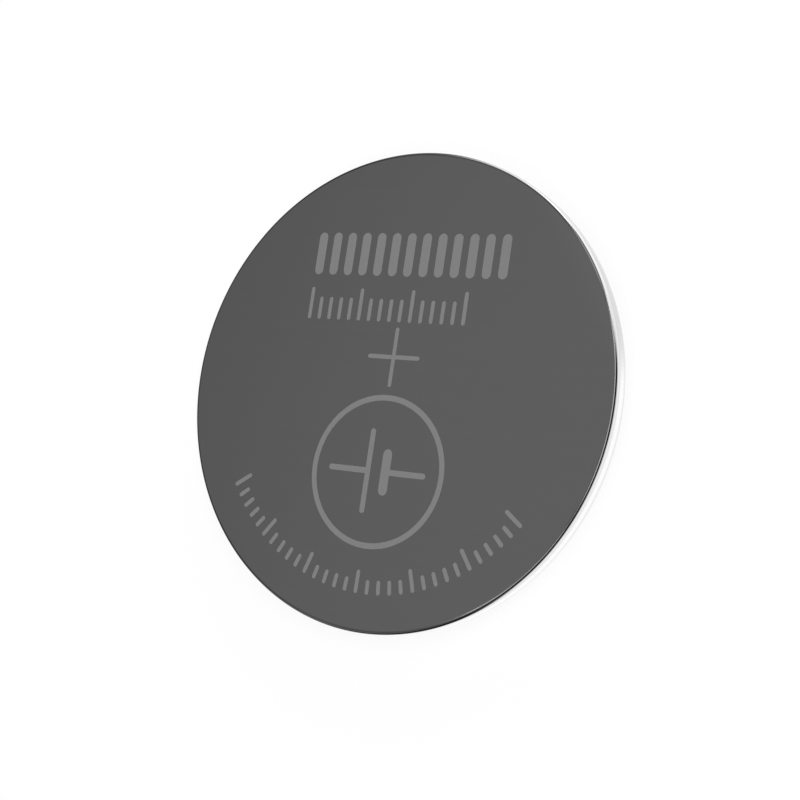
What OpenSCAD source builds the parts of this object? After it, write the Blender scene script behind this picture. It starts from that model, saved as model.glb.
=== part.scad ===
// Lithium coin cell, lying on its negative contact with the positive face up.
// Two drawn steel cups, one crimped over the other, hold a plastic gasket between
// them and a stack of round electrodes inside.
// Millimetres. The origin is the centre of the negative contact face, and +Z runs
// along the cell's axis to the positive face.

/* [Cell] */
// Diameter over the can's wall
cell_d = 20; // [12:0.5:24.5]
// Height from the negative contact face to the positive face
cell_h = 1.6; // [1.4:0.1:5]

/* [Positive can] */
// Thickness of the can's sheet
can_t = 0.2; // [0.15:0.01:0.24]
// Outer radius of the edge around the positive face
can_edge_r = 0.18; // [0.1:0.01:0.3]
// Inner radius of the corner around the can's floor
can_corner_r = 0.05; // [0.02:0.01:0.12]
// Outer radius of the crimped edge
crimp_r = 0.85; // [0.65:0.01:0.95]
// Width of the flat lip where the crimped edge ends
crimp_lip = 0.2; // [0.05:0.01:0.28]
// Height of the crimped edge above the negative contact face
crimp_recess = 0.12; // [0.06:0.01:0.2]

/* [Negative cap] */
// Thickness of the cap's sheet
cap_t = 0.2; // [0.15:0.01:0.24]
// Inner radius of the cap's bends
cap_bend_r = 0.1; // [0.05:0.01:0.12]
// Width of the flat shoulder between the raised contact and the skirt
cap_shoulder_w = 0.55; // [0.4:0.05:1.5]

/* [Gasket] */
// Thickness between the can's wall and the cap's skirt
gasket_wall = 0.33; // [0.25:0.01:0.4]
// Thickness between the crimped lip and the cap's shoulder
gasket_lip = 0.18; // [0.14:0.01:0.25]
// Thickness between the cap's skirt and the can's floor
gasket_base = 0.2; // [0.15:0.01:0.25]
// Thickness of the low wall inside the cap's skirt
gasket_inner_wall = 0.25; // [0.15:0.01:0.3]
// Distance from the cap's wall bend to the gasket's free edge
gasket_edge_gap = 0.1; // [0.05:0.01:0.15]
// Clearance all round between the gasket and the steel
seal_gap = 0.01; // [0.005:0.005:0.02]

/* [Anode] */
// Thickness of the lithium disc
anode_t = 0.27; // [0.2:0.01:0.32]
// Clearance between the disc's edge and the cap's wall
anode_gap = 0.5; // [0.2:0.05:2]

/* [Separator] */
// Thickness of the separator's fleece
separator_t = 0.15; // [0.1:0.01:0.18]
// Clearance between the separator's upturned rim and the cap's wall
separator_gap = 0.2; // [0.1:0.05:1]
// Inner radius of the bend at the rim's foot
separator_bend_r = 0.05; // [0.02:0.01:0.08]
// Height of the rim above the separator's floor
separator_rim_h = 0.3; // [0.2:0.01:0.4]

/* [Cathode] */
// Clearance between the pressed pellet and the separator's rim
cathode_gap = 0.05; // [0.03:0.01:0.1]
// Width of the chamfer on the pellet's edges
cathode_chamfer = 0.08; // [0.06:0.01:0.12]

/* [Current collector] */
// Thickness of the steel grid
collector_t = 0.1; // [0.05:0.01:0.15]
// Distance of the grid's edge in from the pellet's edge
collector_inset = 0.7; // [0.2:0.1:2]
// Width of the plain rim around the grid
collector_rim = 0.5; // [0.3:0.05:0.8]
// Length of one mesh of the grid
mesh_l = 2.2; // [2:0.1:2.8]
// Width of one mesh of the grid
mesh_w = 1.1; // [1:0.05:1.6]
// Width of the strands between the meshes
mesh_strand = 0.22; // [0.15:0.01:0.3]

/* [Hidden] */
$fn = 144;

// Heights of the faces that the pieces seat on
can_floor_z = cell_h - can_t;
crimp_lip_z = crimp_recess + can_t;
shoulder_z = crimp_lip_z + gasket_lip + 2 * seal_gap;
skirt_end_z = can_floor_z - gasket_base - 2 * seal_gap;
anode_z = cap_t;
separator_z = anode_z + anode_t;
cathode_z = separator_z + separator_t;
collector_z = can_floor_z - collector_t;

// Radii that the pieces fit to, from the can's wall inwards
can_r = cell_d / 2;
crimp_mouth_r = can_r - crimp_r - crimp_lip;
skirt_r = can_r - can_t - gasket_wall - 2 * seal_gap;
gasket_bore_r = skirt_r - cap_t - seal_gap - gasket_inner_wall;
cap_bend_out_r = cap_bend_r + cap_t;
contact_r = skirt_r - cap_bend_out_r - cap_shoulder_w - cap_bend_r;
gasket_edge_r = contact_r + cap_bend_r + gasket_edge_gap;
anode_r = contact_r - cap_t - anode_gap;
separator_in_r = contact_r - cap_t - separator_gap - separator_t;
cathode_r = separator_in_r - cathode_gap;
collector_r = cathode_r - collector_inset;

// A quarter of a round disc, from its centre at the origin out to the right and up
module quarter_disc(r) {
    intersection() {
        circle(r);
        square(r);
    }
}

// A quarter of a bend in sheet t thick, of inner radius r, on the same quarter
module quarter_bend(r, t) {
    difference() {
        quarter_disc(r + t);
        circle(r);
    }
}

// Sheet t thick laid along a path from the origin, first to the right, its inner face on the path.
// Each step is [straight run, inner radius of the square bend after it, side], where the side is
// 1 for a bend to the left, -1 for one to the right and 0 for none.
module bent_sheet(steps, t, i = 0) {
    run = steps[i][0];
    r = steps[i][1];
    side = steps[i][2];
    square([run, t]);
    if (side > 0) {
        translate([run, r + t]) rotate(-90) quarter_bend(r, t);
        translate([run + r + t, r + t]) rotate(90) bent_sheet(steps, t, i + 1);
    }
    if (side < 0) {
        translate([run, -r]) quarter_bend(r, t);
        translate([run + r, -r]) rotate(-90) bent_sheet(steps, t, i + 1);
    }
}

// A half section from the axis out to radius r, between heights z0 and z1, its two outer corners
// rounded to low_r and high_r
module rounded_section(r, z0, z1, low_r, high_r) {
    translate([0, z0]) square([r - low_r, low_r]);
    translate([r - low_r, z0 + low_r]) rotate(-90) quarter_disc(low_r);
    translate([0, z0 + low_r]) square([r, z1 - z0 - low_r - high_r]);
    translate([0, z1 - high_r]) square([r - high_r, high_r]);
    translate([r - high_r, z1 - high_r]) quarter_disc(high_r);
}

// The can's outline, taken in all round by an inset, with its corner at the positive face rounded
// to corner_r
module can_outline(inset, corner_r) {
    rounded_section(can_r - inset, crimp_recess + inset, cell_h - inset, crimp_r - inset, corner_r);
}

// The can: one drawn cup, its wall's free end crimped in over the gasket
module positive_can() {
    color("dimgray") rotate_extrude() difference() {
        can_outline(0, can_edge_r);
        can_outline(can_t, can_corner_r);
        square([crimp_mouth_r, can_floor_z]);
    }
}

// The cap: one pressed dish with a raised contact, a shoulder under the crimp and a skirt in the gasket
module negative_cap() {
    steps = [
        [contact_r - cap_bend_out_r, cap_bend_r, 1],
        [shoulder_z - cap_bend_out_r - cap_bend_r, cap_bend_r, -1],
        [cap_shoulder_w, cap_bend_r, 1],
        [skirt_end_z - shoulder_z - cap_bend_out_r, 0, 0]
    ];
    color("silver") rotate_extrude() bent_sheet(steps, cap_t);
}

// The cap's shoulder and skirt with all that they enclose, plus the clearance
module cap_envelope() {
    rounded_section(skirt_r + seal_gap, shoulder_z - seal_gap, skirt_end_z + seal_gap,
                    cap_bend_out_r + seal_gap, seal_gap);
}

// The gasket: one moulded ring with a groove for the cap's skirt, its outer wall folded over by the crimp
module gasket() {
    inner_wall_z = shoulder_z + cap_bend_out_r;
    inner_wall_h = can_floor_z - seal_gap - inner_wall_z;
    color("whitesmoke") rotate_extrude() {
        difference() {
            can_outline(can_t + seal_gap, can_corner_r);
            cap_envelope();
            square([gasket_edge_r, shoulder_z]);
            translate([0, shoulder_z]) square([gasket_bore_r, can_floor_z - shoulder_z]);
        }
        translate([gasket_bore_r, inner_wall_z]) square([gasket_inner_wall, inner_wall_h]);
    }
}

// The anode: a disc punched from lithium foil and pressed onto the cap's inner face
module lithium_anode() {
    color("lightgray") translate([0, 0, anode_z]) cylinder(r = anode_r, h = anode_t);
}

// The separator: a disc of fleece with its edge turned up around the cathode
module separator() {
    steps = [
        [separator_in_r - separator_bend_r, separator_bend_r, 1],
        [separator_rim_h - separator_bend_r, 0, 0]
    ];
    color("white") rotate_extrude() translate([0, separator_z]) bent_sheet(steps, separator_t);
}

// The cathode: a pressed pellet that fills the height left between the separator and the collector
module cathode_pellet() {
    r = cathode_r;
    c = cathode_chamfer;
    h = collector_z - cathode_z;
    color([0.1, 0.1, 0.1]) rotate_extrude() translate([0, cathode_z])
        polygon([[0, 0], [r - c, 0], [r, c], [r, h - c], [r - c, h], [0, h]]);
}

// The collector: a round steel grid of diamond meshes inside a plain rim, against the can's floor.
// Each hole is its mesh drawn smaller, so that strands of one width are left between the holes.
module current_collector() {
    a = mesh_l / 2;
    b = mesh_w / 2;
    shrink = 1 - mesh_strand * norm([a, b]) / (2 * a * b);
    grid_r = collector_r - collector_rim;
    columns = ceil(grid_r / mesh_l);
    rows = ceil(grid_r / b);
    color("darkgray") translate([0, 0, collector_z]) linear_extrude(collector_t) difference() {
        circle(collector_r);
        for (row = [-rows:rows], column = [-columns:columns]) {
            x = mesh_l * (column + (row % 2 == 0 ? 0 : 0.5));
            y = b * row;
            if (norm([abs(x) + a * shrink, y]) < grid_r && norm([x, abs(y) + b * shrink]) < grid_r)
                translate([x, y]) polygon(shrink * [[a, 0], [0, b], [-a, 0], [0, -b]]);
        }
    }
}

positive_can();
negative_cap();
gasket();
lithium_anode();
separator();
cathode_pellet();
current_collector();
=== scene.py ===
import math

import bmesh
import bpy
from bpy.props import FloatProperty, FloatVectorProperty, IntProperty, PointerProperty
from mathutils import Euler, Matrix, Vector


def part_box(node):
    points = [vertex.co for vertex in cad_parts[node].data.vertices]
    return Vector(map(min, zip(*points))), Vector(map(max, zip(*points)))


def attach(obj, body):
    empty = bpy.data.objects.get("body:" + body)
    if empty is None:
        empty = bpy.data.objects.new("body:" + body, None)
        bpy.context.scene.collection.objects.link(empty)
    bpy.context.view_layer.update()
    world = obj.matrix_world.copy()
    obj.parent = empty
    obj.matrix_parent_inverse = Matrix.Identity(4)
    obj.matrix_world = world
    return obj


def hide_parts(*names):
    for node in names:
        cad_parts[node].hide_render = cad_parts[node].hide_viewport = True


bl_info = {
    "name": "Lithium Coin Cell",
    "version": (1, 0, 0),
    "blender": (4, 5, 0),
    "location": "3D View > Sidebar > Coin Cell",
    "description": "Builds the finished surfaces of a lithium coin cell and a plain studio",
    "category": "Object",
}

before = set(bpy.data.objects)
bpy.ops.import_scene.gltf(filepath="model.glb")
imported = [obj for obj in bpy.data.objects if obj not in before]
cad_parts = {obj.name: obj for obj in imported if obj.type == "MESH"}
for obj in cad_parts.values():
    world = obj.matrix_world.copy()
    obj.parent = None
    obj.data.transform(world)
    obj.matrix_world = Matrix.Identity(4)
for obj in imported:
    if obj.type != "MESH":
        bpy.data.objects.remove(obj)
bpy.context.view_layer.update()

MM = 0.001
CAN_LOW, CAN_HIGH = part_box("positive_can")
CAP_LOW, CAP_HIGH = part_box("negative_cap")
GASKET_LOW, GASKET_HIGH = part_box("gasket")

# A point of a half section that lies nearer to the axis than this is on it
AXIS_REACH = 1e-6 * MM
# From each end of a long straight run to the extra point that keeps it flat
SUPPORT_REACH = 0.01 * MM
# Edges that turn by more than this stay crisp
CRISP_ANGLE = math.radians(50)
# Sockets of a colour mix: its two colours and its result
MIX_FIRST, MIX_SECOND, MIX_RESULT = 6, 7, 2
# The camera's sensor in millimetres, and the nearest and furthest that it sees in metres
SENSOR_WIDTH = 36.0
CAMERA_REACH = (1.0 * MM, 20.0)
# From the cell to each softbox, in metres
SOFTBOX_DISTANCE = 0.5
# Each softbox: its name, its direction round the cell and above it in degrees, its width and height
SOFTBOXES = (
    ("strip", 8.0, 55.0, 0.45, 0.18),
    ("lower", -72.0, 52.0, 0.32, 0.14),
    ("side", 93.0, 14.0, 0.38, 0.185),
    ("small", 39.0, 27.0, 0.16, 0.14),
)


def length(name, description, default_mm):
    """A size property, given in millimetres and kept in metres."""
    return FloatProperty(name=name, description=description, default=default_mm * MM, unit="LENGTH",
                         precision=6)


def angle(name, description, default_degrees):
    """An angle property, given in degrees and kept in radians."""
    return FloatProperty(name=name, description=description, default=math.radians(default_degrees),
                         subtype="ANGLE")


def tint(name, description, default):
    """A colour property whose default is one level for a neutral grey, or three values."""
    values = default if isinstance(default, tuple) else (default, default, default)
    return FloatVectorProperty(name=name, description=description, default=values, size=3,
                               subtype="COLOR", min=0.0, max=1.0)


def share(name, description, default):
    """A plain factor property."""
    return FloatProperty(name=name, description=description, default=default, min=0.0, max=1.0,
                         subtype="FACTOR")


def radiance(name, description, default):
    """A light level property, where 1 is the level of a white backdrop."""
    return FloatProperty(name=name, description=description, default=default, min=0.0)


def number(name, description, default, low=2, high=512):
    """A property that counts strokes or faces."""
    return IntProperty(name=name, description=description, default=default, min=low, max=high)


class SheetSizes(bpy.types.PropertyGroup):
    """Sizes of the two steel cups and of the gasket between them."""

    can_sheet: length("Can Sheet", "Thickness of the can's sheet", 0.2)
    edge_radius: length("Edge Radius", "Outer radius of the edge around the positive face", 0.18)
    corner_radius: length("Corner Radius", "Inner radius of the corner around the can's floor", 0.05)
    crimp_radius: length("Crimp Radius", "Outer radius of the crimped edge", 0.85)
    crimp_lip: length("Crimp Lip", "Width of the flat lip where the crimped edge ends", 0.2)
    sheared_edge: length("Sheared Edge", "Radius worn onto the sheared ends of both sheets", 0.02)
    cap_sheet: length("Cap Sheet", "Thickness of the cap's sheet", 0.2)
    cap_bend: length("Cap Bend", "Inner radius of the cap's bends", 0.1)
    cap_shoulder: length("Cap Shoulder", "Flat width between the raised contact and the skirt", 0.55)
    gasket_lip: length("Gasket Lip", "Gasket thickness between the crimped lip and the cap", 0.18)
    gasket_inner: length("Gasket Inner Wall", "Thickness of the low wall inside the cap's skirt", 0.25)
    gasket_edge_gap: length("Gasket Edge Gap", "From the cap's wall bend to the gasket's free edge", 0.1)
    gasket_round: length("Gasket Round", "Radius on the gasket's free edge and low wall", 0.04)
    seal_gap: length("Seal Gap", "Clearance all round between the gasket and the steel", 0.01)
    turns: number("Turns", "Faces in one turn of every turned surface", 360, low=48)


class MarkSizes(bpy.types.PropertyGroup):
    """Sizes of the plain marks on the positive face."""

    print_shift: length("Print Shift", "How far the marks lie to the right of the face's centre", 0.03)
    film: length("Film", "Thickness of the marks over the face", 0.004)
    sunk: length("Sunk", "Depth to which the marks reach into the face", 0.002)
    stroke: length("Stroke", "Width of a thin stroke", 0.175)
    bold_stroke: length("Bold Stroke", "Width of a bold stroke", 0.42)
    plus_y: length("Plus Place", "Height of the plus sign's centre above the face's centre", 1.265)
    plus_reach: length("Plus Reach", "From the plus sign's centre to the end of an arm", 1.243)
    ring_y: length("Ring Place", "Height of the ring's centre, below the face's centre", -3.471)
    ring_inner: length("Ring Inner Radius", "Inner radius of the ring", 2.921)
    ring_outer: length("Ring Outer Radius", "Outer radius of the ring", 3.158)
    ring_turns: number("Ring Turns", "Faces in one turn of the ring", 144, low=48)
    sign_stroke: length("Sign Stroke", "Width of the thin strokes of the cell sign in the ring", 0.24)
    sign_gap: length("Sign Gap", "From the ring's centre to the middle of each plate of the sign", 0.42)
    sign_reach: length("Sign Reach", "From the ring's centre to the end of each lead of the sign", 2.2)
    long_plate: length("Long Plate", "From the sign's middle to each end of its long plate", 1.75)
    short_plate: length("Short Plate", "From the sign's middle to each end of its short plate", 0.95)
    band_left: length("Band Left", "Left end of the upper rows of strokes", -4.6)
    band_right: length("Band Right", "Right end of the bold row of strokes", 4.7)
    band_low: length("Band Low", "Lower ends of the bold strokes", 4.65)
    band_high: length("Band High", "Upper ends of the bold strokes", 6.5)
    band_strokes: number("Band Strokes", "Strokes in the bold row", 13)
    scale_right: length("Scale Right", "Right end of the thin row of strokes", 3.1)
    scale_low: length("Scale Low", "Lower ends of the thin strokes", 2.72)
    scale_high: length("Scale High", "Upper ends of the long thin strokes", 4.1)
    scale_strokes: number("Scale Strokes", "Strokes in the thin row", 16)
    scale_short: share("Scale Short", "Length of the thin row's short strokes, against its long ones", 0.7)
    arc_inner: length("Arc Inner Radius", "Inner ends of the long strokes along the lower rim", 7.5)
    arc_outer: length("Arc Outer Radius", "Outer ends of the strokes along the lower rim", 8.45)
    arc_start: angle("Arc Start", "Direction of the first stroke along the lower rim", -146)
    arc_end: angle("Arc End", "Direction of the last stroke along the lower rim", -36)
    arc_strokes: number("Arc Strokes", "Strokes along the lower rim", 31)
    arc_short: share("Arc Short", "Length of the rim's short strokes, against its long ones", 0.62)
    long_every: number("Long Every", "Every how many strokes of the row and the rim one is long", 5)


class Finishes(bpy.types.PropertyGroup):
    """Colours of the finished surfaces, some with painted reflection, and the sides of the can's rim where
    that painted reflection differs.
    """

    # Painted reflection: the can is one steel, painted dark on the face and near white on the wall, as
    # reflections of a dark sky and a white floor
    face_steel_and_dark_reflection: tint("Face Steel", "Dark rolled steel of the positive face", 0.157)
    # Painted reflection: the edge is painted darker than the face, and the line round it is a painted dark
    # reflection
    edge_steel_and_dark_reflection: tint("Edge Steel", "Darker steel where the face turns over the edge", 0.09)
    edge_painted_dark_line: tint("Edge Line", "Dark line around the edge, where the drawing die rubbed", 0.006)
    wall_steel_and_bright_reflection: tint("Wall Steel", "Bright drawn steel of the can's wall", 0.98)
    # Directions round the rim where the painted reflection of the edge changes
    broad_side: angle("Broad Side", "Direction in which the dark line is broader", -80)
    high_dark_line_side: angle("Worn Side", "Direction in which the dark line lies higher, over bright steel", 170)
    bright_edge_side: angle("Clean Side", "Direction in which the dark line fades out", 45)
    highlight_line_side: angle("Streaked Side", "Direction in which a thin bright line runs along the edge", 35)
    # Painted reflection: the wall is painted dimmer on this side
    dim_reflection_side: angle("Dull Side", "Direction in which the bright wall is duller", 32)
    cap_steel: tint("Cap Steel", "Pressed steel of the negative cap", (0.66, 0.65, 0.63))
    marks: tint("Marks", "Lighter satin of the marks", 0.189)
    gasket: tint("Gasket", "Natural polypropylene of the gasket", (0.8, 0.79, 0.75))
    lithium: tint("Lithium", "Rolled lithium foil", (0.7, 0.7, 0.69))
    fleece: tint("Fleece", "Fibres of the separator", (0.88, 0.88, 0.86))
    powder: tint("Powder", "Pressed powder of the cathode", (0.03, 0.03, 0.032))
    collector: tint("Collector", "Satin steel of the current collector", 0.5)


class Studio(bpy.types.PropertyGroup):
    """Camera, light and floor."""

    lens: FloatProperty(name="Lens", description="Focal length on a 36 mm sensor", default=64.28)
    aim: FloatVectorProperty(name="Aim", description="Point on the positive face that the camera aims at",
                             default=(0.643 * MM, -0.477 * MM, 1.6 * MM), subtype="TRANSLATION",
                             precision=6)
    distance: length("Distance", "From the camera to the point it aims at", 58.06)
    azimuth: angle("Azimuth", "Direction of the camera round the cell's axis", -11.5986)
    elevation: angle("Elevation", "Height of the camera above the face's plane", 57.6)
    roll: angle("Roll", "Turn of the camera about its own view axis", -71.6845)
    floor_radius: length("Floor Radius", "Radius of the floor", 4000)
    floor_gap: length("Floor Gap", "Depth of the floor below the cell's contact", 0.01)
    floor_paint: tint("Floor Paint", "White paint of the floor", 0.97)
    floor_glow: share("Floor Glow", "Share of the floor's white that shadows leave alone", 0.8)
    floor_sheen: share("Floor Sheen", "The same share where steel mirrors the floor", 0.95)
    fade_start: length("Fade Start", "From the cell's axis to where the floor's shadows start to fade", 15)
    fade_end: length("Fade End", "From the cell's axis to where the floor is plain white", 60)
    backdrop: share("Backdrop", "Level of the backdrop, as the camera sees it", 1.0)
    backdrop_sheen: share("Backdrop Sheen", "Share of the backdrop that steel mirrors", 0.15)
    horizon: share("Horizon", "Level of the world at the horizon and below", 1.0)
    middle: share("Middle", "Level of the world at mid height", 0.25)
    upper: share("Upper", "Level of the world between mid height and overhead", 0.476)
    zenith: share("Zenith", "Level of the world overhead", 0.7)
    strip_level: radiance("Strip Level", "Radiance of the strip softbox", 4.2)
    side_level: radiance("Side Level", "Radiance of the side softbox", 3.5)
    small_level: radiance("Small Level", "Radiance of the small softbox", 2.5)
    lower_level: radiance("Lower Level", "Radiance of the lower softbox", 3.4)


# Turned surfaces


def arc(centre, radius, start, end, steps=16):
    """Points of an arc from start to end, in degrees."""
    points = []
    for i in range(steps + 1):
        a = math.radians(start + (end - start) * i / steps)
        points.append((centre[0] + radius * math.cos(a), centre[1] + radius * math.sin(a)))
    return points


def with_supports(outline):
    """The outline with a point added near each end of its long straight runs, so that flats stay flat."""
    points = []
    for i, (r, z) in enumerate(outline):
        next_r, next_z = outline[(i + 1) % len(outline)]
        points.append((r, z))
        run = math.hypot(next_r - r, next_z - z)
        if run > 3 * SUPPORT_REACH:
            for part in (SUPPORT_REACH / run, 1 - SUPPORT_REACH / run):
                points.append((r + (next_r - r) * part, z + (next_z - z) * part))
    return points


def vertex_ring(bm, radius, z, turns, centre_y=0.0):
    """A level ring of vertices about the axis, or about a point beside it."""
    ring = []
    for k in range(turns):
        a = 2 * math.pi * k / turns
        ring.append(bm.verts.new((radius * math.cos(a), centre_y + radius * math.sin(a), z)))
    return ring


def join_rings(bm, rings, turns):
    """Faces between each ring and the next, and between the last and the first.

    A ring may be a single vertex on the axis.
    """
    for ring, following in zip(rings, rings[1:] + rings[:1]):
        if len(ring) == 1 and len(following) == 1:
            continue
        for k in range(turns):
            after = (k + 1) % turns
            corners = [ring[k % len(ring)], ring[after % len(ring)],
                       following[after % len(following)], following[k % len(following)]]
            bm.faces.new(list(dict.fromkeys(corners)))


def turned_mesh(name, outline, turns):
    """A closed mesh made by turning a half section about the axis."""
    bm = bmesh.new()
    rings = []
    for r, z in with_supports(outline):
        if r < AXIS_REACH:
            rings.append([bm.verts.new((0, 0, z))])
        else:
            rings.append(vertex_ring(bm, r, z, turns))
    join_rings(bm, rings, turns)
    bmesh.ops.recalc_face_normals(bm, faces=bm.faces)
    mesh = bpy.data.meshes.new(name)
    bm.to_mesh(mesh)
    bm.free()
    mesh.shade_smooth()
    mesh.set_sharp_from_angle(angle=CRISP_ANGLE)
    return mesh


# Pieces


def add_piece(name, mesh, material, replaced=()):
    """Links a mesh as one piece of the cell, which has a single body."""
    piece = bpy.data.objects.new(name, mesh)
    bpy.context.scene.collection.objects.link(piece)
    mesh.materials.append(material)
    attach(piece, "root")
    if replaced:
        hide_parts(*replaced)


def give_material(node, material):
    """Puts a material on a solid of the frame."""
    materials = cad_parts[node].data.materials
    materials.clear()
    materials.append(material)


def add_turned_piece(name, outline, turns, material, node):
    """Turns a half section into a piece that stands for a solid of the frame."""
    add_piece(name, turned_mesh(name, outline, turns), material, [node])
    give_material(node, material)


# Material nodes


def new_material(name, **constants):
    """A material with its shader's constant inputs set."""
    material = bpy.data.materials.new(name)
    material.use_nodes = True
    tree = material.node_tree
    shader = tree.nodes["Principled BSDF"]
    for socket, value in constants.items():
        shader.inputs[socket.replace("_", " ")].default_value = value
    return material, tree, shader


def add_node(tree, kind, inputs=None, **settings):
    """A node with its settings and unlinked inputs given by name."""
    node = tree.nodes.new(kind)
    for key, value in settings.items():
        setattr(node, key, value)
    for key, value in (inputs or {}).items():
        node.inputs[key].default_value = value
    return node


def object_coordinates(tree, stretch=(1.0, 1.0, 1.0)):
    """The piece's own coordinates in metres, scaled along each axis."""
    place = add_node(tree, "ShaderNodeTexCoord")
    mapping = add_node(tree, "ShaderNodeMapping", {"Scale": stretch})
    tree.links.new(place.outputs["Object"], mapping.inputs["Vector"])
    return mapping.outputs["Vector"]


def upward(tree, vector):
    """The Z of a vector."""
    node = add_node(tree, "ShaderNodeSeparateXYZ")
    tree.links.new(vector, node.inputs["Vector"])
    return node.outputs["Z"]


def noise(tree, vector, scale=1.0, detail=4.0):
    """A noise pattern's value, from 0 to 1."""
    node = add_node(tree, "ShaderNodeTexNoise", {"Scale": scale, "Detail": detail, "Roughness": 0.6})
    tree.links.new(vector, node.inputs["Vector"])
    return node.outputs["Fac"]


def remap(tree, value, low, high, source=(0.3, 0.7)):
    """The value moved from a source range to low and high."""
    node = add_node(tree, "ShaderNodeMapRange",
                    {"From Min": source[0], "From Max": source[1], "To Min": low, "To Max": high})
    tree.links.new(value, node.inputs["Value"])
    return node.outputs["Result"]


def combined(tree, operation, first, second):
    """The result of a maths operation on two values."""
    node = add_node(tree, "ShaderNodeMath", operation=operation)
    tree.links.new(first, node.inputs[0])
    tree.links.new(second, node.inputs[1])
    return node.outputs["Value"]


def scaled(colour, factor):
    """A colour times a factor, kept at or below white."""
    return tuple(min(1.0, channel * factor) for channel in colour)


def ramp(tree, value, stops):
    """A colour ramp through (position, colour) stops."""
    node = add_node(tree, "ShaderNodeValToRGB")
    elements = node.color_ramp.elements
    while len(elements) < len(stops):
        elements.new(0.5)
    for element, (position, colour) in zip(elements, stops):
        element.position = position
        element.color = (*colour, 1.0)
    tree.links.new(value, node.inputs["Fac"])
    return node.outputs["Color"]


def grey_ramp(tree, value, stops):
    """A ramp of greys through (position, level) stops."""
    return ramp(tree, value, [(position, (level, level, level)) for position, level in stops])


def mottled(tree, pattern, colour, dark, light, source=(0.3, 0.7)):
    """A colour that a pattern takes from a dark to a light share of itself."""
    return ramp(tree, pattern, [(source[0], scaled(colour, dark)), (source[1], scaled(colour, light))])


def shaded(tree, colour, value):
    """A colour multiplied by a value."""
    node = add_node(tree, "ShaderNodeMix", {"Factor": 1.0}, data_type="RGBA", blend_type="MULTIPLY")
    tree.links.new(colour, node.inputs[MIX_FIRST])
    tree.links.new(value, node.inputs[MIX_SECOND])
    return node.outputs[MIX_RESULT]


def blended(tree, first, second, factor):
    """Two colours blended by a factor."""
    node = add_node(tree, "ShaderNodeMix", data_type="RGBA")
    tree.links.new(factor, node.inputs["Factor"])
    tree.links.new(first, node.inputs[MIX_FIRST])
    tree.links.new(second, node.inputs[MIX_SECOND])
    return node.outputs[MIX_RESULT]


def mixed_shader(tree, first, second, factor):
    """Two shaders mixed by a factor."""
    node = add_node(tree, "ShaderNodeMixShader")
    tree.links.new(factor, node.inputs["Fac"])
    tree.links.new(first, node.inputs[1])
    tree.links.new(second, node.inputs[2])
    return node.outputs["Shader"]


def towards(tree, place, direction, start, full):
    """A factor that rises on the side of the rim that lies in a direction, between two cosines."""
    rim = CAN_HIGH.x
    way = (math.cos(direction) / rim, math.sin(direction) / rim, 0.0)
    cosine = add_node(tree, "ShaderNodeVectorMath", {1: way}, operation="DOT_PRODUCT")
    tree.links.new(place.outputs["Object"], cosine.inputs[0])
    smooth = add_node(tree, "ShaderNodeMapRange", {"From Min": start, "From Max": full},
                      interpolation_type="SMOOTHSTEP")
    tree.links.new(cosine.outputs["Value"], smooth.inputs["Value"])
    return smooth.outputs["Result"]


def set_colour(tree, shader, colour):
    """Gives the shader its colour."""
    tree.links.new(colour, shader.inputs["Base Color"])


def set_roughness(tree, shader, pattern, low, high):
    """Gives the shader a roughness that a pattern takes from low to high."""
    tree.links.new(remap(tree, pattern, low, high), shader.inputs["Roughness"])


def set_bump(tree, shader, height, depth, strength):
    """Gives the shader a bump whose height runs over a depth in metres."""
    node = add_node(tree, "ShaderNodeBump", {"Strength": strength, "Distance": depth})
    tree.links.new(height, node.inputs["Height"])
    tree.links.new(node.outputs["Normal"], shader.inputs["Normal"])


# Materials


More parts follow.
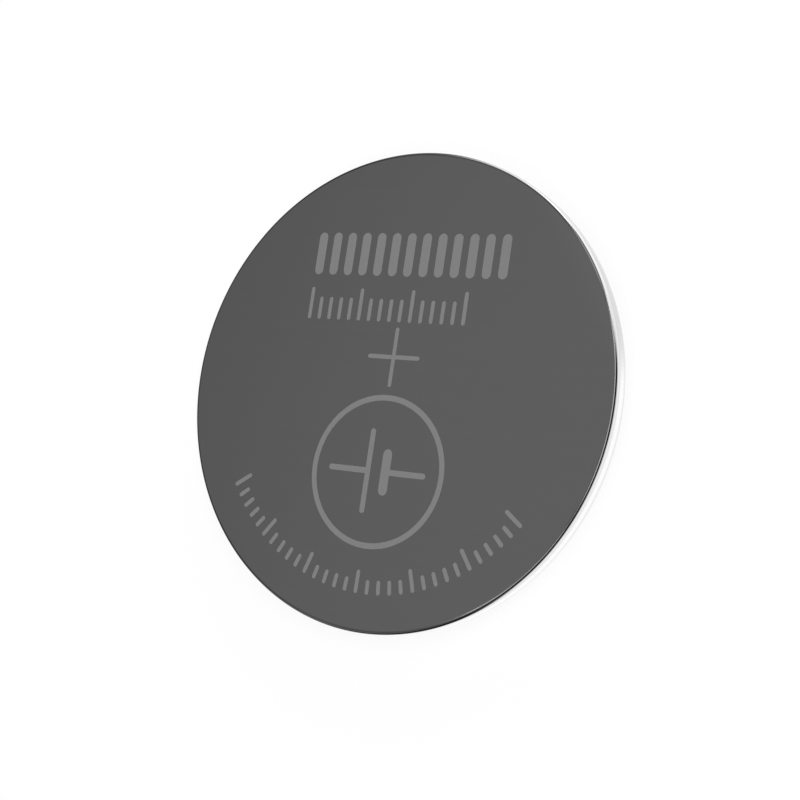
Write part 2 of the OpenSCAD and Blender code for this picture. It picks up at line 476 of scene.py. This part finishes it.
def rim_colour_and_painted_reflection(tree, place, finishes):
    """The can's colour by the slope of its surface, which is 0 on the wall and 1 on the face, with painted
    reflection in it.

    A painted dark line runs round the edge between them. It is broader on one side, lies higher on a second
    one, over painted bright steel, and fades out on a third, where a short thin painted highlight runs
    along it.
    """
    slope = upward(tree, place.outputs["Normal"])
    face = tuple(finishes.face_steel_and_dark_reflection)
    wall = tuple(finishes.wall_steel_and_bright_reflection)
    edge = tuple(finishes.edge_steel_and_dark_reflection)
    line = tuple(finishes.edge_painted_dark_line)
    # Painted reflection: the ramps below paint the dark face, the darker edge, the dark line and the bright
    # wall into the colour
    plain = ramp(tree, slope, [
        (0.0, wall), (0.38, scaled(wall, 0.8)), (0.53, scaled(wall, 0.5)), (0.63, line),
        (0.77, line), (0.82, edge), (0.94, edge), (0.985, face)])
    broad = ramp(tree, slope, [
        (0.0, wall), (0.25, scaled(wall, 0.9)), (0.29, line), (0.73, line), (0.78, face),
        (0.985, face)])
    # Painted reflection: on this side the dark line lies higher, over painted bright steel
    worn = ramp(tree, slope, [
        (0.0, scaled(wall, 0.9)), (0.68, scaled(wall, 0.9)), (0.8, edge), (0.86, line), (0.97, line),
        (0.992, face)])
    # Painted highlights from the softboxes, where the dark line fades out
    bright_edge_section = ramp(tree, slope, [
        (0.0, scaled(wall, 0.95)), (0.1, scaled(wall, 0.8)), (0.5, scaled(wall, 0.8)),
        (0.62, scaled(wall, 0.92)), (0.69, scaled(wall, 0.6)), (0.76, scaled(wall, 0.28)),
        (0.86, scaled(edge, 1.2)), (0.94, scaled(edge, 1.2)), (0.985, face)])
    # A thin painted highlight along the edge
    highlight_line_section = ramp(tree, slope, [
        (0.0, scaled(wall, 0.95)), (0.6, scaled(wall, 0.9)), (0.66, scaled(wall, 0.75)),
        (0.7, scaled(wall, 0.08)), (0.79, scaled(wall, 0.08)), (0.83, scaled(wall, 0.6)),
        (0.915, scaled(wall, 0.6)), (0.95, edge), (0.985, face)])
    # Each of the other painted reflection sections comes in on its own side, between two cosines of the
    # angle from its direction
    colour = plain
    for section, side, start, full in ((broad, finishes.broad_side, 0.8, 0.95),
                                       (worn, finishes.high_dark_line_side, 0.17, 0.57),
                                       (bright_edge_section, finishes.bright_edge_side, 0.78, 0.92),
                                       (highlight_line_section, finishes.highlight_line_side, 0.975, 0.994)):
        colour = blended(tree, colour, section, towards(tree, place, side, start, full))
    return colour


def wall_painted_reflection(tree, place, finishes, sizes):
    """Painted reflection bands along the can's wall, darker near its foot and its top.

    One side of the wall is painted duller. The bands start on the crimp, some way below the wall's foot,
    and all that lies above the wall has the last one's level.
    """
    below_foot, above_top = 0.3 * MM, 0.01 * MM
    start = CAN_LOW.z + sizes.crimp_radius - below_foot
    end = CAN_HIGH.z - sizes.edge_radius + above_top
    along = remap(tree, upward(tree, place.outputs["Object"]), 0.0, 1.0, (start, end))
    bright = grey_ramp(tree, along, [
        (0.0, 0.6), (0.2, 0.8), (0.33, 0.9), (0.42, 1.0), (0.7, 1.0), (0.84, 0.86), (0.96, 0.7),
        (1.0, 0.95)])
    dull = grey_ramp(tree, along, [(0.0, 0.56), (0.3, 0.74), (0.96, 0.7), (1.0, 1.0)])
    return blended(tree, bright, dull, towards(tree, place, finishes.dim_reflection_side, 0.88, 0.97))


def can_steel(finishes, sizes):
    """Drawn steel with painted reflection in its colour: a dark face with rolled grain, a thin painted dark
    line round the edge and a bright wall.
    """
    material, tree, shader = new_material("can_steel", Metallic=1.0)
    place = add_node(tree, "ShaderNodeTexCoord")
    rolled = noise(tree, object_coordinates(tree, (150.0, 9000.0, 1.0)))
    patches = noise(tree, object_coordinates(tree), scale=900.0, detail=3.0)
    # Painted reflection of the rim, times the painted reflection bands of the wall
    colour = shaded(tree, rim_colour_and_painted_reflection(tree, place, finishes), wall_painted_reflection(tree, place, finishes, sizes))
    set_colour(tree, shader, shaded(tree, colour, remap(tree, rolled, 0.985, 1.015)))
    set_roughness(tree, shader, patches, 0.17, 0.21)
    set_bump(tree, shader, rolled, depth=0.0002 * MM, strength=0.4)
    return material


def cap_steel(finishes):
    """Pressed steel: faint lines from the rollers under a fine, even tooth from the press tool."""
    material, tree, shader = new_material("cap_steel", Metallic=1.0)
    tooth = noise(tree, object_coordinates(tree), scale=12000.0, detail=3.0)
    rolled = noise(tree, object_coordinates(tree, (250.0, 7000.0, 250.0)))
    colour = mottled(tree, tooth, finishes.cap_steel, 0.95, 1.02)
    set_colour(tree, shader, shaded(tree, colour, remap(tree, rolled, 0.96, 1.02)))
    set_roughness(tree, shader, rolled, 0.32, 0.38)
    set_bump(tree, shader, tooth, depth=0.003 * MM, strength=0.6)
    return material


def mark_satin(finishes):
    """Satin film of the marks, a little mottled."""
    material, tree, shader = new_material("mark_satin", Metallic=0.0, Specular_IOR_Level=0.3)
    mottle = noise(tree, object_coordinates(tree), scale=9000.0, detail=3.0)
    set_colour(tree, shader, mottled(tree, mottle, finishes.marks, 0.97, 1.03))
    set_roughness(tree, shader, mottle, 0.55, 0.65)
    set_bump(tree, shader, mottle, depth=0.0005 * MM, strength=0.4)
    return material


def gasket_plastic(finishes):
    """Natural moulded plastic, slightly translucent, with faint flow lines."""
    material, tree, shader = new_material("gasket_plastic", IOR=1.49, Subsurface_Weight=0.15,
                                          Subsurface_Scale=0.3 * MM)
    flow = noise(tree, object_coordinates(tree, (1.0, 1.0, 6.0)), scale=1500.0, detail=3.0)
    set_colour(tree, shader, mottled(tree, flow, finishes.gasket, 0.95, 1.03))
    set_roughness(tree, shader, flow, 0.42, 0.52)
    set_bump(tree, shader, flow, depth=0.002 * MM, strength=0.3)
    return material


def lithium(finishes):
    """Soft foil with lines from the rollers and a thin dull film in patches."""
    material, tree, shader = new_material("lithium", Metallic=1.0)
    rolled = noise(tree, object_coordinates(tree, (120.0, 5000.0, 1.0)))
    film = noise(tree, object_coordinates(tree), scale=700.0, detail=5.0)
    set_colour(tree, shader, mottled(tree, film, finishes.lithium, 0.75, 1.05, (0.35, 0.65)))
    set_roughness(tree, shader, film, 0.55, 0.38)
    set_bump(tree, shader, rolled, depth=0.003 * MM, strength=0.5)
    return material


def separator_fleece(finishes):
    """Non-woven fibres laid in two directions."""
    material, tree, shader = new_material("separator_fleece", Roughness=0.85, Specular_IOR_Level=0.2)
    across = noise(tree, object_coordinates(tree, (900.0, 14000.0, 3000.0)))
    along = noise(tree, object_coordinates(tree, (14000.0, 900.0, 3000.0)))
    fibres = combined(tree, "MAXIMUM", across, along)
    set_colour(tree, shader, mottled(tree, fibres, finishes.fleece, 0.8, 1.0, (0.4, 0.7)))
    set_bump(tree, shader, fibres, depth=0.02 * MM, strength=0.8)
    return material


def cathode_powder(finishes):
    """Pressed powder: dull grains with a few brighter specks."""
    material, tree, shader = new_material("cathode_powder", Specular_IOR_Level=0.25)
    place = object_coordinates(tree)
    grains = add_node(tree, "ShaderNodeTexVoronoi", {"Scale": 12000.0})
    tree.links.new(place, grains.inputs["Vector"])
    specks = noise(tree, place, scale=22000.0, detail=2.0)
    colour = tuple(finishes.powder)
    set_colour(tree, shader, ramp(tree, specks, [
        (0.35, scaled(colour, 0.7)), (0.62, colour), (0.72, scaled(colour, 3.0))]))
    set_roughness(tree, shader, specks, 0.9, 0.75)
    set_bump(tree, shader, grains.outputs["Distance"], depth=0.02 * MM, strength=0.6)
    return material


def collector_steel(finishes):
    """Satin steel of the expanded grid, with fine lines along its strands."""
    material, tree, shader = new_material("collector_steel", Metallic=1.0)
    lines = noise(tree, object_coordinates(tree, (6000.0, 900.0, 900.0)))
    set_colour(tree, shader, mottled(tree, lines, finishes.collector, 0.9, 1.1))
    set_roughness(tree, shader, lines, 0.32, 0.42)
    set_bump(tree, shader, lines, depth=0.002 * MM, strength=0.4)
    return material


# Half sections of the turned pieces


def can_outline(sizes):
    """The can: its floor and wall, the crimp, the flat lip and the way back inside the sheet."""
    sheet, worn = sizes.can_sheet, sizes.sheared_edge
    edge, corner, crimp = sizes.edge_radius, sizes.corner_radius, sizes.crimp_radius
    top, foot, outer = CAN_HIGH.z, CAN_LOW.z, CAN_HIGH.x
    mouth = outer - crimp - sizes.crimp_lip
    crimp_centre = (outer - crimp, foot + crimp)
    outline = [(0.0, top)]
    outline += arc((outer - edge, top - edge), edge, 90, 0, steps=24)
    outline += arc(crimp_centre, crimp, 0, -90, steps=32)
    outline += arc((mouth + worn, foot + worn), worn, -90, -180, steps=4)
    outline += arc((mouth + worn, foot + sheet - worn), worn, 180, 90, steps=4)
    outline += arc(crimp_centre, crimp - sheet, -90, 0, steps=24)
    outline += arc((outer - sheet - corner, top - sheet - corner), corner, 0, 90, steps=8)
    outline.append((0.0, top - sheet))
    return outline


def cap_outline(sizes):
    """The cap: its raised contact, shoulder and skirt, and the way back inside the sheet."""
    sheet, bend, worn = sizes.cap_sheet, sizes.cap_bend, sizes.sheared_edge
    skirt, end = CAP_HIGH.x, CAP_HIGH.z
    contact = skirt - bend - sheet - sizes.cap_shoulder - bend
    shoulder = CAN_LOW.z + sizes.can_sheet + sizes.gasket_lip + 2 * sizes.seal_gap
    foot_centre = (contact - bend - sheet, bend + sheet)
    wall_centre = (contact + bend, shoulder - bend)
    skirt_centre = (skirt - bend - sheet, shoulder + bend + sheet)
    outline = [(0.0, 0.0)]
    outline += arc(foot_centre, bend + sheet, -90, 0)
    outline += arc(wall_centre, bend, 180, 90)
    outline += arc(skirt_centre, bend + sheet, -90, 0)
    outline += arc((skirt - worn, end - worn), worn, 0, 90, steps=4)
    outline += arc((skirt - sheet + worn, end - worn), worn, 90, 180, steps=4)
    outline += arc(skirt_centre, bend, 0, -90)
    outline += arc(wall_centre, bend + sheet, 90, 180)
    outline += arc(foot_centre, bend, 0, -90)
    outline.append((0.0, sheet))
    return outline


def gasket_outline(sizes):
    """The gasket: its free edge, folded outer wall, low inner wall and the groove for the skirt."""
    gap, inner, soft, corner = sizes.seal_gap, sizes.gasket_inner, sizes.gasket_round, sizes.corner_radius
    foot, top, outer = GASKET_LOW.z, GASKET_HIGH.z, GASKET_HIGH.x
    skirt = CAP_HIGH.x
    bend = sizes.cap_bend + sizes.cap_sheet
    contact = skirt - bend - sizes.cap_shoulder - sizes.cap_bend
    free_edge = contact + sizes.cap_bend + sizes.gasket_edge_gap
    bore = skirt - sizes.cap_sheet - gap - inner
    fold = sizes.crimp_radius - sizes.can_sheet - gap
    groove = CAP_HIGH.z + gap
    wall_foot = foot + gap + sizes.gasket_lip + bend
    outline = arc((free_edge + soft, foot + soft), soft, 180, 270, steps=6)
    outline += arc((outer - fold, foot + fold), fold, -90, 0, steps=24)
    outline += arc((outer - corner, top - corner), corner, 0, 90, steps=6)
    outline.append((bore, top))
    outline += arc((bore + soft, wall_foot + soft), soft, 180, 270, steps=6)
    outline += arc((bore + inner - soft, wall_foot + soft), soft, -90, 0, steps=6)
    outline += [(bore + inner, groove), (skirt + gap, groove)]
    outline += arc((skirt - bend, wall_foot), bend + gap, 0, -90)
    outline.append((free_edge, wall_foot - bend - gap))
    return outline


# Marks


def add_prism(bm, corners, low, high):
    """A closed prism over an outline of (x, y) corners that runs to the left."""
    foot = [bm.verts.new((x, y, low)) for x, y in corners]
    roof = [bm.verts.new((x, y, high)) for x, y in corners]
    bm.faces.new(roof)
    bm.faces.new(list(reversed(foot)))
    for i in range(len(corners)):
        j = (i + 1) % len(corners)
        bm.faces.new((foot[i], foot[j], roof[j], roof[i]))


def spaced(first, last, total):
    """Evenly spaced values from first to last."""
    return [first + (last - first) * i / (total - 1) for i in range(total)]


def round_end(x, y, radius, heading):
    """Points of a half circle round (x, y), bulging towards the heading in degrees."""
    return arc((x, y), radius, heading - 90, heading + 90, steps=8)


def stroke_corners(start, end, width):
    """The outline of a straight stroke with round ends."""
    half = width / 2
    heading = math.degrees(math.atan2(end[1] - start[1], end[0] - start[0]))
    inset = Vector((math.cos(math.radians(heading)), math.sin(math.radians(heading)))) * half
    first, last = Vector(start) + inset, Vector(end) - inset
    return round_end(*last, half, heading) + round_end(*first, half, heading + 180)


def plus_corners(x, y, reach, width):
    """The outline of a plus sign with round ends."""
    half = width / 2
    corners = []
    for heading in (0, 90, 180, 270):
        a = math.radians(heading)
        tip = (x + (reach - half) * math.cos(a), y + (reach - half) * math.sin(a))
        corners += round_end(*tip, half, heading)
        corners.append((x + half * (math.cos(a) - math.sin(a)), y + half * (math.sin(a) + math.cos(a))))
    return corners


def draw_plus(bm, marks, low, high):
    """The plus sign of the positive face."""
    add_prism(bm, plus_corners(0.0, marks.plus_y, marks.plus_reach, marks.stroke), low, high)


def draw_ring(bm, marks, low, high):
    """A plain ring."""
    rings = []
    for radius, z in ((marks.ring_outer, low), (marks.ring_outer, high),
                      (marks.ring_inner, high), (marks.ring_inner, low)):
        rings.append(vertex_ring(bm, radius, z, marks.ring_turns, marks.ring_y))
    join_rings(bm, rings, marks.ring_turns)


def draw_cell_sign(bm, marks, low, high):
    """The circuit sign of a cell inside the ring: a long thin plate, a short thick one and two leads."""
    y = marks.ring_y
    gap, reach, thin, thick = marks.sign_gap, marks.sign_reach, marks.sign_stroke, marks.bold_stroke
    half = thin / 2
    left_back = -gap - half
    right_back = gap + thick / 2
    long_plate = stroke_corners((-gap, y - marks.long_plate), (-gap, y + marks.long_plate), thin)
    short_plate = stroke_corners((gap, y - marks.short_plate), (gap, y + marks.short_plate), thick)
    left_lead = round_end(-reach, y, half, 180) + [(left_back, y - half), (left_back, y + half)]
    right_lead = round_end(reach, y, half, 0) + [(right_back, y + half), (right_back, y - half)]
    for corners in (long_plate, short_plate, left_lead, right_lead):
        add_prism(bm, corners, low, high)


def draw_rows(bm, marks, low, high):
    """Two level rows of strokes: a bold one above, and a thin one below it with some long strokes."""
    half = marks.bold_stroke / 2
    for x in spaced(marks.band_left + half, marks.band_right - half, marks.band_strokes):
        corners = stroke_corners((x, marks.band_low), (x, marks.band_high), marks.bold_stroke)
        add_prism(bm, corners, low, high)
    half = marks.stroke / 2
    places = spaced(marks.band_left + half, marks.scale_right - half, marks.scale_strokes)
    for i, x in enumerate(places):
        reach = 1.0 if i % marks.long_every == 0 else marks.scale_short
        top = marks.scale_low + (marks.scale_high - marks.scale_low) * reach
        add_prism(bm, stroke_corners((x, marks.scale_low), (x, top), marks.stroke), low, high)


def draw_arc(bm, marks, low, high):
    """Strokes along the lower rim, some of them long."""
    for i, a in enumerate(spaced(marks.arc_start, marks.arc_end, marks.arc_strokes)):
        way = Vector((math.cos(a), math.sin(a)))
        reach = 1.0 if i % marks.long_every == 0 else marks.arc_short
        inner = marks.arc_outer - (marks.arc_outer - marks.arc_inner) * reach
        add_prism(bm, stroke_corners(way * inner, way * marks.arc_outer, marks.stroke), low, high)


def add_marks(name, marks, material, draw):
    """One group of marks as a piece: draw adds its prisms between two heights."""
    bm = bmesh.new()
    draw(bm, marks, CAN_HIGH.z - marks.sunk, CAN_HIGH.z + marks.film)
    bmesh.ops.translate(bm, verts=bm.verts, vec=(marks.print_shift, 0.0, 0.0))
    mesh = bpy.data.meshes.new(name)
    bm.to_mesh(mesh)
    bm.free()
    add_piece(name, mesh, material)


# Studio


def seen_share(tree, sheen_share, camera_share=None):
    """A factor for the camera's own rays, and a smaller one for rays that steel or glass sends on.

    The camera's factor is 1, or the value of a socket where one is given.
    """
    rays = add_node(tree, "ShaderNodeLightPath")
    mirrored = combined(tree, "MAXIMUM", rays.outputs["Is Glossy Ray"], rays.outputs["Is Transmission Ray"])
    sheen = remap(tree, mirrored, 0.0, sheen_share, (0.0, 1.0))
    seen = rays.outputs["Is Camera Ray"]
    if camera_share is not None:
        seen = combined(tree, "MULTIPLY", seen, camera_share)
    return combined(tree, "MAXIMUM", seen, sheen)


def floor_white(studio):
    """White floor, clear from below. Part of its white is its own, so that shadows on it stay faint."""
    material = bpy.data.materials.new("floor_white")
    material.use_nodes = True
    tree = material.node_tree
    tree.nodes.clear()
    paint = add_node(tree, "ShaderNodeBsdfDiffuse", {"Color": (*studio.floor_paint, 1.0)})
    glow = add_node(tree, "ShaderNodeEmission", {"Color": (1.0, 1.0, 1.0, 1.0), "Strength": 1.0})
    clear = add_node(tree, "ShaderNodeBsdfTransparent")
    place = add_node(tree, "ShaderNodeTexCoord")
    spread = add_node(tree, "ShaderNodeVectorMath", operation="LENGTH")
    tree.links.new(place.outputs["Object"], spread.inputs[0])
    fade = (studio.fade_start, studio.fade_end)
    own_white = remap(tree, spread.outputs["Value"], studio.floor_glow, 1.0, fade)
    seen = seen_share(tree, studio.floor_sheen, own_white)
    white = mixed_shader(tree, paint.outputs["BSDF"], glow.outputs["Emission"], seen)
    side = add_node(tree, "ShaderNodeNewGeometry")
    surface = mixed_shader(tree, white, clear.outputs["BSDF"], side.outputs["Backfacing"])
    output = add_node(tree, "ShaderNodeOutputMaterial")
    tree.links.new(surface, output.inputs["Surface"])
    return material


def build_floor(studio):
    """A round white floor just under the cell's contact."""
    mesh = bpy.data.meshes.new("studio_floor")
    bm = bmesh.new()
    bmesh.ops.create_circle(bm, cap_ends=True, segments=96, radius=studio.floor_radius)
    bm.to_mesh(mesh)
    bm.free()
    floor = bpy.data.objects.new("studio_floor", mesh)
    floor.location.z = -studio.floor_gap
    bpy.context.scene.collection.objects.link(floor)
    mesh.materials.append(floor_white(studio))


def build_world(studio):
    """A plain world: white at the horizon and below, softer above."""
    world = bpy.data.worlds.new("studio_world")
    bpy.context.scene.world = world
    world.use_nodes = True
    tree = world.node_tree
    place = add_node(tree, "ShaderNodeTexCoord")
    light = grey_ramp(tree, upward(tree, place.outputs["Generated"]), [
        (0.0, studio.horizon), (0.2, studio.horizon), (0.3, studio.middle), (0.6, studio.middle),
        (0.72, studio.upper), (0.84, studio.zenith), (1.0, studio.zenith)])
    level = studio.backdrop
    backdrop = add_node(tree, "ShaderNodeMix", {MIX_SECOND: (level, level, level, 1.0)}, data_type="RGBA")
    tree.links.new(seen_share(tree, studio.backdrop_sheen), backdrop.inputs["Factor"])
    tree.links.new(light, backdrop.inputs[MIX_FIRST])
    tree.links.new(backdrop.outputs[MIX_RESULT], tree.nodes["Background"].inputs["Color"])


def add_softbox(name, azimuth, elevation, width, height, level):
    """A softbox at a direction from the cell, in degrees, which faces it with a radiance of level."""
    data = bpy.data.lights.new(name, "AREA")
    data.shape = "RECTANGLE"
    data.size = width
    data.size_y = height
    data.energy = level * math.pi * width * height
    lamp = bpy.data.objects.new(name, data)
    bpy.context.scene.collection.objects.link(lamp)
    a, e = math.radians(azimuth), math.radians(elevation)
    way = Vector((math.cos(e) * math.cos(a), math.cos(e) * math.sin(a), math.sin(e)))
    lamp.location = way * SOFTBOX_DISTANCE
    lamp.rotation_euler = Euler((math.pi / 2 - e, 0.0, a + math.pi / 2))


def build_camera(studio):
    """The camera, aimed at a point on the positive face and turned about its view axis."""
    data = bpy.data.cameras.new("studio_camera")
    data.lens = studio.lens
    data.sensor_width = SENSOR_WIDTH
    data.clip_start, data.clip_end = CAMERA_REACH
    camera = bpy.data.objects.new("studio_camera", data)
    bpy.context.scene.collection.objects.link(camera)
    upright = Euler((math.pi / 2 - studio.elevation, 0.0, studio.azimuth + math.pi / 2)).to_matrix()
    rotation = upright @ Matrix.Rotation(studio.roll, 3, "Z")
    back = rotation @ Vector((0.0, 0.0, 1.0))
    place = Vector(studio.aim) + back * studio.distance
    camera.matrix_world = Matrix.Translation(place) @ rotation.to_4x4()
    bpy.context.scene.camera = camera


# Operators, one for each piece or group of like pieces and one for the stage


class COINCELL_OT_studio(bpy.types.Operator):
    """Set up the floor, the world, the softboxes and the camera"""

    bl_idname = "coincell.studio"
    bl_label = "Build Studio"

    def execute(self, context):
        studio = context.scene.coincell_studio
        context.scene.view_settings.view_transform = "Standard"
        build_camera(studio)
        build_floor(studio)
        build_world(studio)
        for name, *place_and_size in SOFTBOXES:
            add_softbox(name + "_softbox", *place_and_size, getattr(studio, name + "_level"))
        return {"FINISHED"}


class COINCELL_OT_can(bpy.types.Operator):
    """Turn the crimped can with its rounded edges and give it its steel"""

    bl_idname = "coincell.can"
    bl_label = "Build Can"

    def execute(self, context):
        sizes = context.scene.coincell_sheets
        material = can_steel(context.scene.coincell_finishes, sizes)
        add_turned_piece("can_shell", can_outline(sizes), sizes.turns, material,
                         "positive_can")
        return {"FINISHED"}


class COINCELL_OT_cap(bpy.types.Operator):
    """Turn the pressed cap with its raised contact, shoulder and skirt"""

    bl_idname = "coincell.cap"
    bl_label = "Build Cap"

    def execute(self, context):
        sizes = context.scene.coincell_sheets
        material = cap_steel(context.scene.coincell_finishes)
        add_turned_piece("cap_shell", cap_outline(sizes), sizes.turns, material,
                         "negative_cap")
        return {"FINISHED"}


class COINCELL_OT_gasket(bpy.types.Operator):
    """Turn the gasket, with the groove for the cap's skirt and its folded lip"""

    bl_idname = "coincell.gasket"
    bl_label = "Build Gasket"

    def execute(self, context):
        sizes = context.scene.coincell_sheets
        material = gasket_plastic(context.scene.coincell_finishes)
        add_turned_piece("gasket_ring", gasket_outline(sizes), sizes.turns, material,
                         "gasket")
        return {"FINISHED"}


class COINCELL_OT_stack(bpy.types.Operator):
    """Finish the round electrodes, the fleece and the grid inside the cell"""

    bl_idname = "coincell.stack"
    bl_label = "Finish Inner Stack"

    def execute(self, context):
        finishes = context.scene.coincell_finishes
        give_material("lithium_anode", lithium(finishes))
        give_material("separator", separator_fleece(finishes))
        give_material("cathode_pellet", cathode_powder(finishes))
        give_material("current_collector", collector_steel(finishes))
        return {"FINISHED"}


class COINCELL_OT_marks(bpy.types.Operator):
    """Lay the plain satin marks on the positive face"""

    bl_idname = "coincell.marks"
    bl_label = "Lay Marks"

    def execute(self, context):
        marks = context.scene.coincell_marks
        material = mark_satin(context.scene.coincell_finishes)
        add_marks("plus_mark", marks, material, draw_plus)
        add_marks("ring_mark", marks, material, draw_ring)
        add_marks("cell_sign_mark", marks, material, draw_cell_sign)
        add_marks("row_marks", marks, material, draw_rows)
        add_marks("rim_marks", marks, material, draw_arc)
        return {"FINISHED"}


GROUPS = {"coincell_sheets": SheetSizes, "coincell_marks": MarkSizes, "coincell_finishes": Finishes,
          "coincell_studio": Studio}
OPERATORS = (COINCELL_OT_studio, COINCELL_OT_can, COINCELL_OT_cap, COINCELL_OT_gasket, COINCELL_OT_stack,
             COINCELL_OT_marks)


class COINCELL_PT_panel(bpy.types.Panel):
    """Lists the cell's sizes, finishes and building steps"""

    bl_label = "Coin Cell"
    bl_space_type = "VIEW_3D"
    bl_region_type = "UI"
    bl_category = "Coin Cell"

    def draw(self, context):
        for name in GROUPS:
            group = getattr(context.scene, name)
            box = self.layout.box()
            for key in group.bl_rna.properties.keys():
                if key not in {"rna_type", "name"}:
                    box.prop(group, key)
        for operator in OPERATORS:
            self.layout.operator(operator.bl_idname)


CLASSES = (*GROUPS.values(), *OPERATORS, COINCELL_PT_panel)


def register():
    for item in CLASSES:
        bpy.utils.register_class(item)
    for name, group in GROUPS.items():
        setattr(bpy.types.Scene, name, PointerProperty(type=group))


def unregister():
    for name in GROUPS:
        delattr(bpy.types.Scene, name)
    for item in reversed(CLASSES):
        bpy.utils.unregister_class(item)


def main():
    register()
    bpy.ops.coincell.studio()
    bpy.ops.coincell.can()
    bpy.ops.coincell.cap()
    bpy.ops.coincell.gasket()
    bpy.ops.coincell.stack()
    bpy.ops.coincell.marks()


if __name__ == "__main__":
    main()
